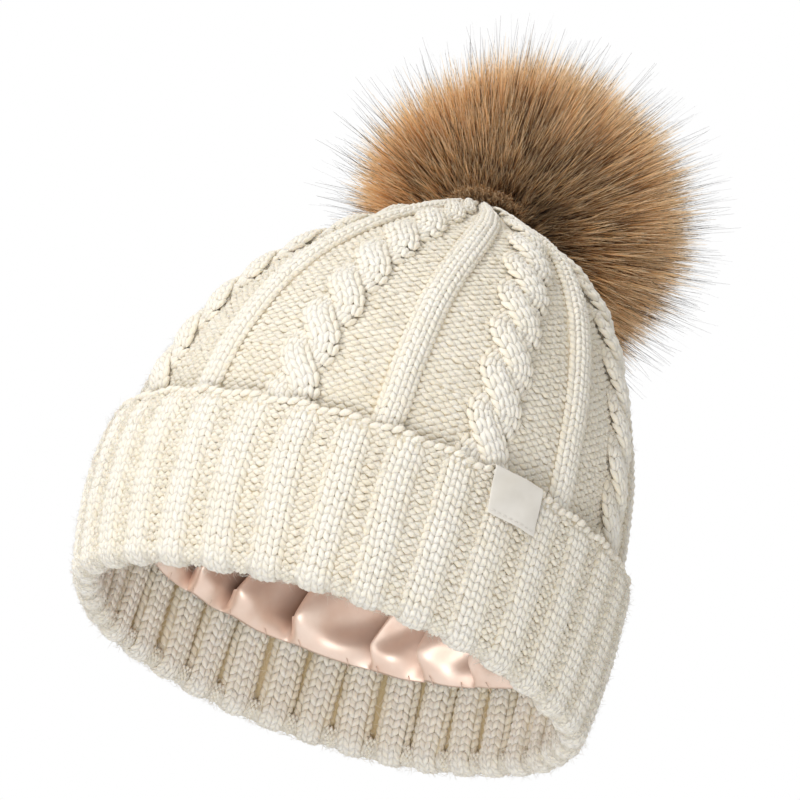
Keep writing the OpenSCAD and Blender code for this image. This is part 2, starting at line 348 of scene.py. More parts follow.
def knit_wall(name, course, side, start, end, low, deep, material, *stands_for):
    """The closed fabric under the stitches: low(angle, at) is its face, deep its back."""
    turns, rows = 12 * RIBS, max(8, int((end - start) / 3.5))
    angle, at = np.meshgrid(np.linspace(0, 2 * math.pi, turns, endpoint=False),
                            np.linspace(start, end, rows), indexing="ij")
    place, _, _, out = course.frame(angle, at, side)
    face = place + out * low(angle, at)[..., None]
    back = place + out * deep
    ring = slump(np.concatenate([face, back[:, ::-1]], 1))
    around = ring.shape[1]
    i, j = np.meshgrid(np.arange(turns), np.arange(around), indexing="ij")
    i2, j2 = (i + 1) % turns, (j + 1) % around
    faces = np.stack([i * around + j, i2 * around + j, i2 * around + j2, i * around + j2],
                     -1).reshape(-1, 4)
    if np.sign(course.frame(np.array(0.0), np.array(start + 1.0), side)[1][0]) < 0:
        faces = faces[:, ::-1]
    depth = np.concatenate([low(angle, at), np.full(at.shape, -2.0)], 1)
    # Painted shade: the fabric is darker the deeper it lies, and darkest on its back.
    shade_and_tone = np.clip(1.1 + depth * 0.22, 0, 1)
    return mesh_piece(name, ring.reshape(-1, 3), faces, material, "hat", "cream_yarn",
                      *stands_for, shade_and_tone=shade_and_tone)


z = np.linspace(CUFF_TOP, FOLD_H + 1.5, 40)
outer_r = CUFF_R - CUFF_BELLY * ((z - CUFF_MID) / 36) ** 2
turn = np.radians(np.linspace(10, -190, 22))
blend_r = FOLD_R + FOLD_HALF * np.cos(turn)
blend_z = FOLD_H + FOLD_H * np.sin(turn)
z_in = np.linspace(FOLD_H + 1.5, BAND_TOP, 36)
inner_r = BAND_R + 1.0 * (z_in - FOLD_H) / 60
tube = Course(np.concatenate([outer_r[:-1], blend_r[1:-1], inner_r[1:]]),
              np.concatenate([z[:-1], blend_z[1:-1], z_in[1:]]))
FOLD_START = float(np.interp(-FOLD_H - 2.5, -tube.height[:40], tube.at[:40]))
FOLD_END = FOLD_START + FOLD_LENGTH
step = 2 * math.pi / RIBS
rib_turn = np.arange(RIBS) * step + 0.05
rib_angle = rib_turn + 0.1 * np.sin(rib_turn)
rib_step = step * (1 + 0.1 * np.cos(rib_turn))


def inward(at):
    """0 on the cuff's outside and 1 on the band's inside."""
    return np.clip((at - FOLD_START - 4) / (FOLD_END - FOLD_START - 8), 0, 1)


def knit_share(at):
    """Half of a rib's knit part, as a share of the pitch."""
    return 0.36 + 0.11 * inward(at)


def rib_bulge(at):
    """How far a rib stands up over its edges, mm."""
    return 1.15 + 2.6 * inward(at)


def every(*choices):
    """Each combination of the choices, as one flat array for each choice."""
    return [a.ravel() for a in np.meshgrid(*choices, indexing="ij")]


def rib_sizes(rib, at):
    """Radius, pitch of the ribs there, and the half width of the knit part, mm."""
    radius = np.interp(at, tube.at, tube.radius)
    pitch = radius * rib_step[rib]
    half = np.minimum((1.62 + 0.36 * inward(at)) * WALE, pitch * knit_share(at))
    return radius, pitch, half


def tube_low(angle, at):
    """Face of the rib fabric under its stitches: full ribs and deep furrows."""
    phase = np.interp(angle, np.concatenate([rib_angle, [rib_angle[0] + 2 * math.pi]]),
                      np.arange(RIBS + 1), period=2 * math.pi)
    near = np.abs(phase - np.round(phase)) / knit_share(at)
    return np.maximum(-1.5 - rib_bulge(at) * np.minimum(near, 1.05) ** 2.4, -4.8)


def rib_legs(first, last, ribs):
    """Knit stitches of the ribs between two rows, two legs each."""
    row, rib, wale, leg = every(np.arange(first, last), ribs, [-1, 0, 1], [-1, 1])
    n = len(row)
    at = np.clip(row * ROW + 1.6, 0, tube.length) + rng.normal(0, 0.12, n)
    radius, pitch, half = rib_sizes(rib, at)
    s = (wale * WALE + leg * WALE / 4) * half / (1.5 * WALE)
    weave = 0.45 * np.sin(at / 11 + rib * 2.1)
    s = s + rng.normal(0, 0.1, n)
    bulge = rib_bulge(at)
    height = -0.9 - bulge * np.abs(s / half) ** 2.4
    roll = -np.arctan(2.4 * bulge / half * np.sign(s) * np.abs(s / half) ** 1.4)
    curl = np.clip(1 - row / 1.2, 0, 1) * 1.2
    height = height - curl + rng.normal(0, 0.08, n)
    angle = rib_angle[rib] - (s + weave) / radius
    centre, across, along, out = tube.frame(angle, at, -1)
    centre = centre + out * height[:, None]
    turn = -leg * np.radians(19 + rng.normal(0, 3.5, n))
    width = half / (1.5 * WALE)
    size = np.stack([width * (1 + rng.normal(0, 0.05, n)), 1 + rng.normal(0, 0.04, n),
                     1 + rng.normal(0, 0.05, n)], -1)
    # Painted shade: stitches darker towards a rib's edges, where it turns down into the furrow,
    # more so on the band inside.
    edge = (0.35 + 0.3 * inward(at)) * np.abs(s / half) ** 3
    shade_and_tone = np.clip(0.86 - edge + rng.normal(0, 0.06, n), 0, 1)
    return set_stitches(LEG, centre, across, along, out, roll, turn, size), shade_and_tone


def rib_purls(first, last, ribs):
    """Purl bumps in the furrows between two rows, where the furrow is open."""
    row, rib, lane = every(np.arange(first, last), ribs, [-0.5, 0.5, -1.0, 0.0, 1.0])
    arch = (lane * 2 % 2 == 0).astype(float)
    n = len(row)
    at = np.clip(row * ROW + 1.6 + arch * ROW / 2 + rng.normal(0, 0.1, n), 0, tube.length)
    radius, pitch, half = rib_sizes(rib, at)
    room = np.maximum(pitch / 2 - half, 1.4)
    s = pitch / 2 + lane * room + rng.normal(0, 0.1, n)
    angle = rib_angle[rib] - s / radius
    centre, across, along, out = tube.frame(angle, at, -1)
    height = -2.0 - 0.5 * np.abs(lane) + rng.normal(0, 0.1, n)
    centre = centre + out * height[:, None]
    turn = math.pi * (0.5 + arch) + rng.normal(0, 0.1, n)
    size = np.stack([np.full(n, 1.1), room / 4.1, np.full(n, 1.1)], -1)
    # Painted shade: purl bumps darker, down in the furrows.
    shade_and_tone = np.clip(0.66 + rng.normal(0, 0.07, n), 0, 1)
    return set_stitches(BUMP, centre, across, along, out, np.zeros(n), turn, size), shade_and_tone


fold_rows = int((FOLD_END + 2) / ROW)
face_ribs = [k for k in range(RIBS) if math.cos(rib_angle[k]) > 0]
back_ribs = [k for k in range(RIBS) if k not in face_ribs]
knit_wall("cuff_fabric", tube, -1, 0, FOLD_START + 20, tube_low, -5.2, shaded_yarn,
          "turn_up_cuff")
for name, ribs in (("cuff_ribs_face", face_ribs), ("cuff_ribs_back", back_ribs)):
    stitch_piece(name, LEG, [rib_legs(0, fold_rows, ribs)], ivory_yarn, "hat", "cream_yarn",
                 "turn_up_cuff")
for name, ribs in (("cuff_furrows_face", face_ribs), ("cuff_furrows_back", back_ribs)):
    stitch_piece(name, BUMP, [rib_purls(0, fold_rows - 1, ribs)], ivory_yarn, "hat",
                 "cream_yarn", "turn_up_cuff")

# ---- Inner band ----
# The inner layer of the doubled rib, the same tube of knitting where it runs
# on up inside; its ribs are drawn in and plump, with deep slits between.

knit_wall("band_fabric", tube, -1, FOLD_START + 20.5, tube.length, tube_low, -5.2, shaded_yarn,
          "rib_band")
stitch_piece("band_ribs", LEG, [rib_legs(fold_rows, fold_rows + 13, range(RIBS))], ivory_yarn,
             "hat", "cream_yarn", "rib_band")

# ---- Cast-on edge ----
# The chain of stitches that ends the cuff, rolled over its top.

links = 5 * RIBS
link_turn = np.arange(links) * 2 * math.pi / links
link_angle = link_turn + 0.1 * np.sin(link_turn)
phase = (np.arange(links) % 5 - 0.2) / 5
edge_lots = []
for depth, lift, lean_in in ((-1.7, 0.6, 0.5), (-3.6, 0.2, -0.5)):
    centre, across, along, out = tube.frame(link_angle, np.full(links, 0.3), -1)
    rise = lift + 0.7 * np.cos(2 * math.pi * phase) + rng.normal(0, 0.12, links)
    centre = centre + out * (depth + rng.normal(0, 0.15, links))[:, None]
    centre = centre - along * rise[:, None]
    turn = np.full(links, math.pi / 2) + lean_in + rng.normal(0, 0.1, links)
    edge_lots.append((set_stitches(LEG, centre, across, along, out, np.full(links, 0.0), turn,
                                   np.tile([1.15, 1.0, 1.15], (links, 1))), 0.8))
stitch_piece("cast_on_chain", LEG, edge_lots, ivory_yarn, "hat", "cream_yarn",
             "cuff_cast_on_edge")

# ---- Crown ----
# One layer of knitting gathered to a point: eight rope cables of six stitches
# and eight ribs of three, on a ground of purl that narrows away to the top.

CROWN_R = 93.0
CROWN_TOP = 185.4
CROWN_POWER = 1.78
REPEATS = 8
RIB_AT = math.radians(-3)
CABLE_AT = math.radians(-25.5)
CROSSING = 19.0         # mm of cable from one crossing to the next
t = np.radians(np.linspace(0, 84, 70))
dome_r = CROWN_R * np.cos(t) ** (2 / CROWN_POWER)
dome_z = BAND_TOP + (CROWN_TOP - BAND_TOP) * np.sin(t) ** (2 / CROWN_POWER)
dome = Course(np.concatenate([[92.2, 92.8], dome_r, [6.5, 3.4, 2.6]]),
              np.concatenate([[50, 60], dome_z, [184.4, 182.6, 180.8]]))
crown_rows = int(dome.length / ROW)


def crown_widths(at):
    """Widths of a cable, of a rib and of the purl ground between them, mm."""
    radius = np.interp(at, dome.at, dome.radius)
    repeat = 2 * math.pi * radius / REPEATS
    scale = np.minimum(1, repeat / 44)
    cable, rib = 21.0 * scale, np.minimum(11.6 * scale ** 0.55, 0.9 * repeat)
    return radius, cable, rib, (repeat - cable - rib) / 2


def crown_low(angle, at):
    """Face of the crown's fabric under its stitches."""
    radius, cable, rib, purl = crown_widths(at)
    pitch = 2 * math.pi / REPEATS
    from_rib = np.abs((angle - RIB_AT + pitch / 2) % pitch - pitch / 2) * radius
    from_cable = np.abs((angle - CABLE_AT + pitch / 2) % pitch - pitch / 2) * radius
    rib_face = 0.55 - 2.2 * np.minimum(from_rib / rib * 2, 1.3) ** 2.2
    cable_face = -2.1 + 2.0 * np.clip((0.31 * cable - from_cable) / 2, 0, 1)
    return np.maximum(np.maximum(rib_face, cable_face), -2.1)


def crown_rib(repeats):
    """Knit stitches of the narrow ribs, two legs each, closing up towards the top."""
    row, rep, wale, leg = every(np.arange(crown_rows), repeats, [-1, 0, 1], [-1, 1])
    n = len(row)
    at = row * ROW + 1.6 + rng.normal(0, 0.12, n)
    radius, cable, rib, purl = crown_widths(at)
    scale = rib / (3 * WALE)
    s = (wale * WALE + leg * WALE / 4) * scale
    half = rib / 2
    weave = 0.5 * np.sin(at / 15 + rep * 1.7)
    bulge = 2.2
    height = 1.35 - bulge * np.abs(s / half) ** 2.2 + 1.2 * (1 - np.minimum(1, scale * 1.3))
    roll = -np.arctan(2.2 * bulge / half * np.sign(s) * np.abs(s / half) ** 1.2) * 0.9
    angle = RIB_AT + rep * 2 * math.pi / REPEATS + (s + weave * scale) / radius
    centre, across, along, out = dome.frame(angle, at, 1)
    centre = centre + out * (height + rng.normal(0, 0.08, n))[:, None]
    turn = -leg * np.radians(19 + rng.normal(0, 3.5, n))
    size = np.stack([np.clip(scale * 1.08, 0.3, 1.08) * (1 + rng.normal(0, 0.05, n)),
                     1 + rng.normal(0, 0.04, n), np.clip(scale * 1.4, 0.6, 1)], -1)
    # Painted shade: stitches darker towards the rib's edges.
    shade_and_tone = np.clip(0.84 - 0.3 * np.abs(s / half) ** 3 + rng.normal(0, 0.06, n), 0, 1)
    return set_stitches(LEG, centre, across, along, out, roll, turn, size), shade_and_tone


def crown_cable(repeats):
    """Knit stitches of the rope cables: two strands of three that cross in turn."""
    row, rep, strand, wale, leg = every(np.arange(crown_rows), repeats, [0, 1], [-1, 0, 1],
                                        [-1, 1])
    n = len(row)
    at = row * ROW + 1.6 + rng.normal(0, 0.12, n)
    radius, cable, rib, purl = crown_widths(at)
    scale = cable / 21.0
    phase = math.pi * (at / CROSSING + strand + 0.15 * rep)
    swing, lift = np.cos(phase), np.sin(phase)
    reach = 5.1 * scale
    slope = -np.sin(phase) * math.pi * reach / CROSSING
    tilt = -np.arctan(slope)
    plump = np.where(scale > 0.3, 1, 2.1)
    s_in = (wale * 3.6 + leg * 0.95 * plump) * scale
    half = 5.3 * scale
    s = reach * swing + s_in * np.cos(tilt)
    at2 = at + s_in * np.sin(tilt)
    height = (1.1 + 1.5 * lift * np.minimum(1, scale * 1.2) - 1.5 * np.abs(s_in / half) ** 2.2
              + 1.0 * (1 - np.minimum(1, scale * 1.3)))
    roll = -np.arctan(1.8 * np.sign(s_in) * np.abs(s_in / half) ** 1.2 * 1.9 / half) * 0.8
    angle = CABLE_AT + rep * 2 * math.pi / REPEATS + s / radius
    centre, across, along, out = dome.frame(angle, np.clip(at2, 0, dome.length), 1)
    centre = centre + out * (height + rng.normal(0, 0.08, n))[:, None]
    turn = tilt - leg * np.radians(13 + rng.normal(0, 3.0, n))
    size = np.stack([np.clip(scale * plump, 0.3, 1) * 1.12 * (1 + rng.normal(0, 0.05, n)),
                     (1.05 + rng.normal(0, 0.03, n)) / np.cos(tilt),
                     np.clip(scale * 1.3, 0.6, 1) * 1.08], -1)
    keep = (np.abs(wale) < 1) | (scale > 0.3)
    # Painted shade and light: stitches darker towards a strand's edges, and lighter where the
    # strand lies on top at a crossing.
    shade_and_tone = np.clip(0.84 - 0.3 * np.abs(s_in / half) ** 3 + 0.06 * lift
                   + rng.normal(0, 0.06, n), 0, 1)
    made = set_stitches(LEG, centre, across, along, out, roll, turn, size)
    return made[keep], shade_and_tone[keep]


def crown_ground():
    """Purl bumps on both sides of every rib, fewer in each row as the ground narrows."""
    lots = []
    for row in range(crown_rows - 4):
        at = row * ROW + 1.6
        radius, cable, rib, purl = crown_widths(at)
        ground = purl + 4.4 * cable / 21
        columns = int(round(ground / 4.3))
        if columns < 1 or purl < 1.0:
            continue
        rep, side, col, arch = every(np.arange(REPEATS), [-1, 1], np.arange(columns), [0, 1])
        n = len(rep)
        s = side * (rib / 2 - 0.6 + (col + 0.35 + 0.5 * arch) * ground / columns)
        s = s + rng.normal(0, 0.12, n)
        angle = RIB_AT + rep * 2 * math.pi / REPEATS + s / radius
        here = at + arch * ROW / 2 + rng.normal(0, 0.12, n)
        centre, across, along, out = dome.frame(angle, here, 1)
        centre = centre + out * (-1.65 + rng.normal(0, 0.12, n))[:, None]
        turn = math.pi * (0.5 + arch) + rng.normal(0, 0.1, n)
        size = np.stack([np.full(n, 1.12), np.full(n, min(1.15, ground / columns / 4.2)),
                         np.full(n, 1.0)], -1)
        # Painted shade: the purl ground darker, sunk between the ribs and cables.
        shade_and_tone = np.clip(0.64 + rng.normal(0, 0.07, n), 0, 1)
        lots.append((set_stitches(BUMP, centre, across, along, out, np.zeros(n), turn, size),
                     shade_and_tone))
    return lots


knit_wall("crown_fabric", dome, 1, 0, dome.length, crown_low, -5.4, shaded_yarn, "crown_knit")
stitch_piece("crown_ribs", LEG, [crown_rib(range(REPEATS))], ivory_yarn, "hat", "cream_yarn",
             "crown_knit")
for name, repeats in (("crown_cables_left", range(4, 8)), ("crown_cables_right", range(4))):
    stitch_piece(name, LEG, [crown_cable(repeats)], ivory_yarn, "hat", "cream_yarn",
                 "crown_knit")
stitch_piece("crown_purl_ground", BUMP, crown_ground(), ivory_yarn, "hat", "cream_yarn",
             "crown_knit")

# ---- Halo ----
# Loose fibres that stand off the brushed yarn all over the hat.

def ribbons(dice, lines, widths):
    """Flat strands along lines of points, turned at random: points, faces, corner UVs."""
    count, each = lines.shape[:2]
    run = np.gradient(lines, axis=1)
    run /= np.linalg.norm(run, axis=-1, keepdims=True)
    side = np.cross(run, dice.normal(0, 1, (count, 1, 3)))
    side /= np.linalg.norm(side, axis=-1, keepdims=True)
    edge = side * np.asarray(widths)[None, :, None] / 2
    points = np.stack([lines - edge, lines + edge], 2).reshape(count, each * 2, 3)
    quads = np.array([[2 * k, 2 * k + 1, 2 * k + 3, 2 * k + 2] for k in range(each - 1)])
    faces = (quads[None] + 2 * each * np.arange(count)[:, None, None]).reshape(-1, 4)
    v = np.linspace(0, 1, each)
    uv = np.array([[[0, v[k]], [1, v[k]], [1, v[k + 1]], [0, v[k + 1]]]
                   for k in range(each - 1)])
    return points, faces, np.broadcast_to(uv[None], (count,) + uv.shape).astype(float)


def halo(name, course, side, start, end, count, level):
    """Loose fibres rooted at random between two distances along a course."""
    at = rng.uniform(start, end, 3 * count)
    at = at[rng.uniform(0, 96, 3 * count) < np.interp(at, course.at, course.radius)][:count]
    n = len(at)
    place, across, along, out = course.frame(rng.uniform(0, 2 * math.pi, n), at, side)
    way = rng.normal(0, 1, (n, 2))
    flow = way[:, :1] * across + way[:, 1:] * along + out * rng.uniform(0.2, 1.0, (n, 1))
    flow /= np.linalg.norm(flow, axis=1, keepdims=True)
    curl = np.cross(flow, out) * rng.normal(0, 1, (n, 1)) - out * rng.uniform(0, 0.6, (n, 1))
    length = rng.uniform(1.6, 4.2, (n, 1))
    lines = np.stack([place + out * level + flow * length * t + curl * length * t * t * 0.6
                      for t in (0, 0.5, 1)], 1)
    points, faces, corners = ribbons(rng, lines, (0.13, 0.11, 0.04))
    return mesh_piece(name, slump(points).reshape(-1, 3), faces, ivory_yarn, "hat",
                      "cream_yarn", corners=corners, shade_and_tone=np.full(points.shape[:2], 0.95))


halo("cuff_halo", tube, -1, 0, FOLD_END, 16000, -1.0)
halo("band_halo", tube, -1, FOLD_END, FOLD_END + 26, 3000, -1.2)
halo("crown_halo", dome, 1, 12, dome.length - 12, 15000, 0.2)

# ---- Gathering yarn ----
# Yarn drawn twice through the last stitches to close the crown.

GATHER_Z = 181.6


def thread_tube(bm, points, radius, sides=8):
    """Adds a round thread along points (mm) to a bmesh, closed at its ends or on itself."""
    points = [Vector(p) for p in points]
    rings = []
    side = None
    for i, point in enumerate(points):
        ahead = (points[min(i + 1, len(points) - 1)] - points[max(i - 1, 0)]).normalized()
        if side is None:
            side = ahead.orthogonal().normalized()
        side = (side - ahead * side.dot(ahead)).normalized()
        other = ahead.cross(side)
        rings.append([bm.verts.new(point + radius * (math.cos(a) * side + math.sin(a) * other))
                      for a in (2 * math.pi * k / sides for k in range(sides))])
    for a, b in zip(rings, rings[1:]):
        for k in range(sides):
            bm.faces.new((a[k], a[(k + 1) % sides], b[(k + 1) % sides], b[k]))
    bm.faces.new(rings[0][::-1])
    bm.faces.new(rings[-1])


def built(name, bm, material, body, slot, *stands_for):
    """A piece from a bmesh in mm, riding on a body."""
    bmesh.ops.remove_doubles(bm, verts=bm.verts[:], dist=1e-5)
    bmesh.ops.recalc_face_normals(bm, faces=bm.faces[:])
    bmesh.ops.scale(bm, vec=(MM, MM, MM), verts=bm.verts[:])
    mesh = bpy.data.meshes.new(name)
    bm.to_mesh(mesh)
    bm.free()
    mesh.shade_smooth()
    mesh.materials.append(material)
    made = bpy.data.objects.new(name, mesh)
    scene.collection.objects.link(made)
    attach(made, body)
    if stands_for:
        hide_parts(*stands_for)
    return made


bm = bmesh.new()
for lift, radius in ((0, 3.0), (-1.6, 3.2)):
    loop = [(radius * math.cos(a) * (1 + 0.08 * math.sin(5 * a)),
             radius * math.sin(a) * (1 + 0.08 * math.cos(4 * a)),
             GATHER_Z + lift + 0.5 * math.sin(8 * a))
            for a in (2 * math.pi * k / 48 for k in range(48))]
    thread_tube(bm, loop + loop[:1], 1.0)
built("crown_gathering_yarn", bm, ivory_yarn, "hat", "cream_yarn", "crown_gather_yarn")

# ---- Lining ----
# Champagne polyester satin, two half domes seamed at the sides, cut fuller
# than the hat and puckered where the hem is caught down to the band.

LINING_R = 84.6
HEM_Z = 29.0
HEM_H = 9.0
LINING_TOP = 177.5
STRAIGHT_TOP = 112.0    # height up to which the satin hangs in pleats, mm
RISE = STRAIGHT_TOP - HEM_Z
PLEATS = 21
AROUND, UP = 336, 36
dice_lining = np.random.default_rng(3)


def satin_material(name, light, dark, weave_mm):
    """Satin: long floats of shiny filament, so a soft bright lustre and crisp folds."""
    material, tree = blank_material(name)
    place = add_node(tree, "ShaderNodeTexCoord")
    # Filament floats, drawn coarser than the real 0.1 mm so that they show.
    floats = add_node(tree, "ShaderNodeMapping", {"Vector": place.outputs["Object"],
                      "Scale": (1 / (weave_mm * MM), 1 / (weave_mm * MM), 0.18 / (weave_mm * MM))})
    grain = add_node(tree, "ShaderNodeTexNoise", {"Vector": floats.outputs[0], "Scale": 1.0,
                     "Detail": 2.0})
    mottle = add_node(tree, "ShaderNodeTexNoise", {"Vector": place.outputs["Object"],
                      "Scale": 1 / (14 * MM), "Detail": 3.0})
    soft = add_node(tree, "ShaderNodeMapRange", {"Value": mottle.outputs["Fac"], 1: 0.35,
                    2: 0.65, 3: 0.0, 4: 1.0})
    open_cloth = add_node(tree, "ShaderNodeMix", {0: soft.outputs[0], 6: linear(dark),
                          7: linear(light)}, data_type="RGBA")
    # Painted shade: cloth that lies under a pleat's lip, where it gets little light, is mixed
    # toward a dark brown by the per-point attribute.
    under = add_node(tree, "ShaderNodeAttribute", attribute_name="shade_and_tone")
    colour = add_node(tree, "ShaderNodeMix", {0: under.outputs["Fac"], 6: open_cloth.outputs[2],
                      7: linear("#7d5740")}, data_type="RGBA")
    bump = add_node(tree, "ShaderNodeBump", {"Height": grain.outputs["Fac"], "Strength": 0.12,
                    "Distance": 0.1 * MM})
    skin = add_node(tree, "ShaderNodeBsdfPrincipled", {
        "Base Color": colour.outputs[2], "Metallic": 0.4, "Roughness": 0.42,
        "Specular IOR Level": 0.5, "Anisotropic": 0.5, "Sheen Weight": 0.15,
        "Sheen Roughness": 0.3, "Sheen Tint": linear("#fff0e4"), "Normal": bump.outputs[0]})
    add_node(tree, "ShaderNodeOutputMaterial", {"Surface": skin.outputs[0]})
    return material


champagne_satin = satin_material("champagne_polyester_satin", "#f4dfd0", "#e9cdbb", 0.45)


def inside_radius(z, radius=84.2, top=LINING_TOP):
    """Radius of the room inside the crown at height z, mm."""
    rise = np.clip((z - BAND_TOP) / (top - BAND_TOP), 0, 1)
    return radius * (1 - rise ** CROWN_POWER) ** (1 / CROWN_POWER)


def lining_rest(u, v):
    """Place on the smooth lining: u round it from the front, v from the hem 0 to 1 to 2."""
    angle = 2 * math.pi * u
    z = HEM_Z + RISE * np.clip(v, 0, 1)
    first = math.asin(((STRAIGHT_TOP - BAND_TOP) / (LINING_TOP - BAND_TOP)) ** (CROWN_POWER / 2))
    rise = first + (math.pi / 2 - first) * np.clip(v - 1, 0, 1)
    z = np.where(v > 1, BAND_TOP + (LINING_TOP - BAND_TOP) * np.sin(rise) ** (2 / CROWN_POWER),
                 z)
    r = np.maximum(inside_radius(z), 1.6)
    return np.stack([r * np.sin(angle), -r * np.cos(angle), z], -1)


# One pleat across: how far along its width and how far in from the wall the
# cloth is, rising to a lip that hangs over the recess before the next pleat.
PLEAT_CLOTH = [0.0, 0.12, 0.28, 0.44, 0.60, 0.73, 0.81, 0.86, 0.90, 0.94, 1.0]
PLEAT_ALONG = [0.0, 0.18, 0.42, 0.66, 0.90, 1.10, 1.20, 1.21, 1.13, 1.03, 1.0]
PLEAT_IN = [0.0, 0.08, 0.30, 0.58, 0.84, 1.0, 0.98, 0.78, 0.42, 0.12, 0.0]

u, v = np.meshgrid(np.arange(AROUND) / AROUND, np.linspace(0, 1, UP), indexing="ij")
above = RISE * v                      # height above the hem, mm
part_way = (u * PLEATS) % 1
pleat = np.floor(u * PLEATS + 1e-6).astype(int) % PLEATS
after = (pleat + 1) % PLEATS
throw = dice_lining.uniform(7.5, 15.0, PLEATS)
spread = dice_lining.uniform(-0.22, 0.22, PLEATS)
lean = dice_lining.uniform(0.22, 0.5, PLEATS)
bow = dice_lining.uniform(-2.0, 4.0, PLEATS)
pitch = 2 * math.pi * LINING_R / PLEATS


def lip_drift(k):
    """How far round a pleat's lip has moved at each height, in pleats."""
    sweep = lean[k] * np.minimum(above, 50) + bow[k] * np.sin(np.minimum(above, 42) / 13.5)
    return spread[k] - sweep / pitch


drift = (1 - part_way) * lip_drift(pleat) + part_way * lip_drift(after)
full = 1 - (1 - np.clip(above / 16, 0, 1)) ** 2
depth = throw[pleat] * (0.16 + 0.84 * np.clip(full, 0, 1)) * np.clip((RISE - above) / 38, 0, 1)
inset = np.interp(part_way, PLEAT_CLOTH, PLEAT_IN) * depth
over = np.interp(part_way, PLEAT_CLOTH, PLEAT_ALONG) - part_way
along = u * PLEATS + over * np.clip(above / 9, 0.15, 1) * np.clip((RISE - above) / 38, 0, 1)
# Soft creases that run up from the pinches in the hem.
inset = inset + (1.6 * np.sin(2 * math.pi * (part_way * 1.5 + above / 30 + 0.37 * pleat))
                 * part_way * (1 - part_way) * 4 * np.clip(above / 6, 0, 1)
                 * np.exp(-above / 40))
inset = inset + 2.6 * np.sin(math.pi * part_way) * np.exp(-((above - 6) / 6) ** 2)
settled = lining_rest((along + drift) / PLEATS, v)
radius = np.hypot(settled[..., 0], settled[..., 1])
settled[..., :2] *= (1 - np.maximum(inset, -0.6) / radius)[..., None]
# Painted shade: the satin is darkened where the lip of the pleat before hangs over it, and under
# each lip's own edge.
lip_shade_mask = (np.exp(-(part_way / 0.2) ** 2) + np.clip((part_way - 0.84) / 0.08, 0, 1))
lip_shade_mask = 0.85 * lip_shade_mask * np.clip(above / 9 - 0.2, 0, 1)
settled[..., 2] += 1.2 * (1 - np.sin(math.pi * part_way)) * np.clip(1 - above / 10, 0, 1)

CAP_ROWS = 15
u, v = np.meshgrid(np.arange(AROUND) / AROUND, np.linspace(1, 1.97, CAP_ROWS + 1)[1:],
                   indexing="ij")
cap_points = lining_rest(u, v)
radius = np.hypot(cap_points[..., 0], cap_points[..., 1])
gather = np.cos(2 * math.pi * 36 * u) * np.clip((v - 1) * 3, 0, 1) * np.minimum(1, radius / 30)
cap_points[..., :2] *= (1 - 0.8 * (1 + gather) / np.maximum(radius, 3))[..., None]
hem_rows = int(round(HEM_H * UP / RISE))
turned = settled[:, 1:hem_rows + 1][:, ::-1].copy()
radius = np.hypot(turned[..., 0], turned[..., 1])
turned[..., :2] *= ((radius + 1.3) / radius)[..., None]
whole = np.concatenate([turned, settled, cap_points], 1)
ROWS = whole.shape[1]
shade = np.zeros(whole.shape[:2])
shade[:, hem_rows:hem_rows + UP] = np.clip(lip_shade_mask, 0, 1)


def half_faces(first, last, rows):
    """Quads of the columns of a grid from first to last, facing the inside."""
    i, j = np.meshgrid(np.arange(last - first), np.arange(rows - 1), indexing="ij")
    return np.stack([i * rows + j, i * rows + j + 1, (i + 1) * rows + j + 1,
                     (i + 1) * rows + j], -1).reshape(-1, 4)


def lining_half(name, first, last, node):
    """One panel of the lining, from one side seam to the other."""
    columns = np.arange(first, last + 1) % AROUND
    part = slump(whole[columns])
    panel = mesh_piece(name, part.reshape(-1, 3), half_faces(first, last, ROWS),
                       champagne_satin, "hat", "satin_lining", node, shade_and_tone=shade[columns])
    finer = panel.modifiers.new("finer", "SUBSURF")
    finer.levels = finer.render_levels = 1


quarter = AROUND // 4
lining_half("lining_front", -quarter, quarter, "lining_front_panel")
lining_half("lining_back", quarter, 3 * quarter, "lining_back_panel")

# ---- Hem stitches ----
# Small slanting stitches of polyester thread that catch the lining's folded
# hem to the band.

def thread_material(name, colour):
    """Polyester sewing thread: fine, twisted, slightly lustrous."""
    material, tree = blank_material(name)
    place = add_node(tree, "ShaderNodeTexCoord")
    twist = add_node(tree, "ShaderNodeTexWave", {"Vector": place.outputs["Object"],
                     "Scale": 1 / (1.2 * MM) / 20, "Distortion": 2.0})
    tone = add_node(tree, "ShaderNodeTexNoise", {"Vector": place.outputs["Object"],
                    "Scale": 1 / (2 * MM)})
    shade = add_node(tree, "ShaderNodeMix", {0: tone.outputs["Fac"],
                     6: [c * 0.8 for c in linear(colour)[:3]] + [1], 7: linear(colour)},
                     data_type="RGBA")
    bump = add_node(tree, "ShaderNodeBump", {"Height": twist.outputs["Fac"], "Strength": 0.4,
                    "Distance": 0.1 * MM})
    skin = add_node(tree, "ShaderNodeBsdfPrincipled", {
        "Base Color": shade.outputs[2], "Roughness": 0.55, "Sheen Weight": 0.2,
        "Normal": bump.outputs[0]})
    add_node(tree, "ShaderNodeOutputMaterial", {"Surface": skin.outputs[0]})
    return material


rose_thread = thread_material("polyester_sewing_thread", "#ecd2c1")
HEM_STITCHES = 40
bm = bmesh.new()
for k in range(HEM_STITCHES):
    column = int((k + 0.5) * AROUND / HEM_STITCHES)
    low, high = whole[column, hem_rows], whole[(column + 1) % AROUND, hem_rows + 1]
    inner = 1 - 0.5 / LINING_R
    ends = slump(np.array([low * [inner, inner, 1] - [0, 0, 0.6],
                           (low + high) / 2 * [inner - 0.006, inner - 0.006, 1],
                           high * [inner, inner, 1]]))
    thread_tube(bm, ends, 0.16, 6)
built("hem_stitches", bm, rose_thread, "hat", "sewing_thread", "lining_hem_stitches")

# ---- Lining tack ----
# A few turns of thread that hold the top of the lining to the felt patch.

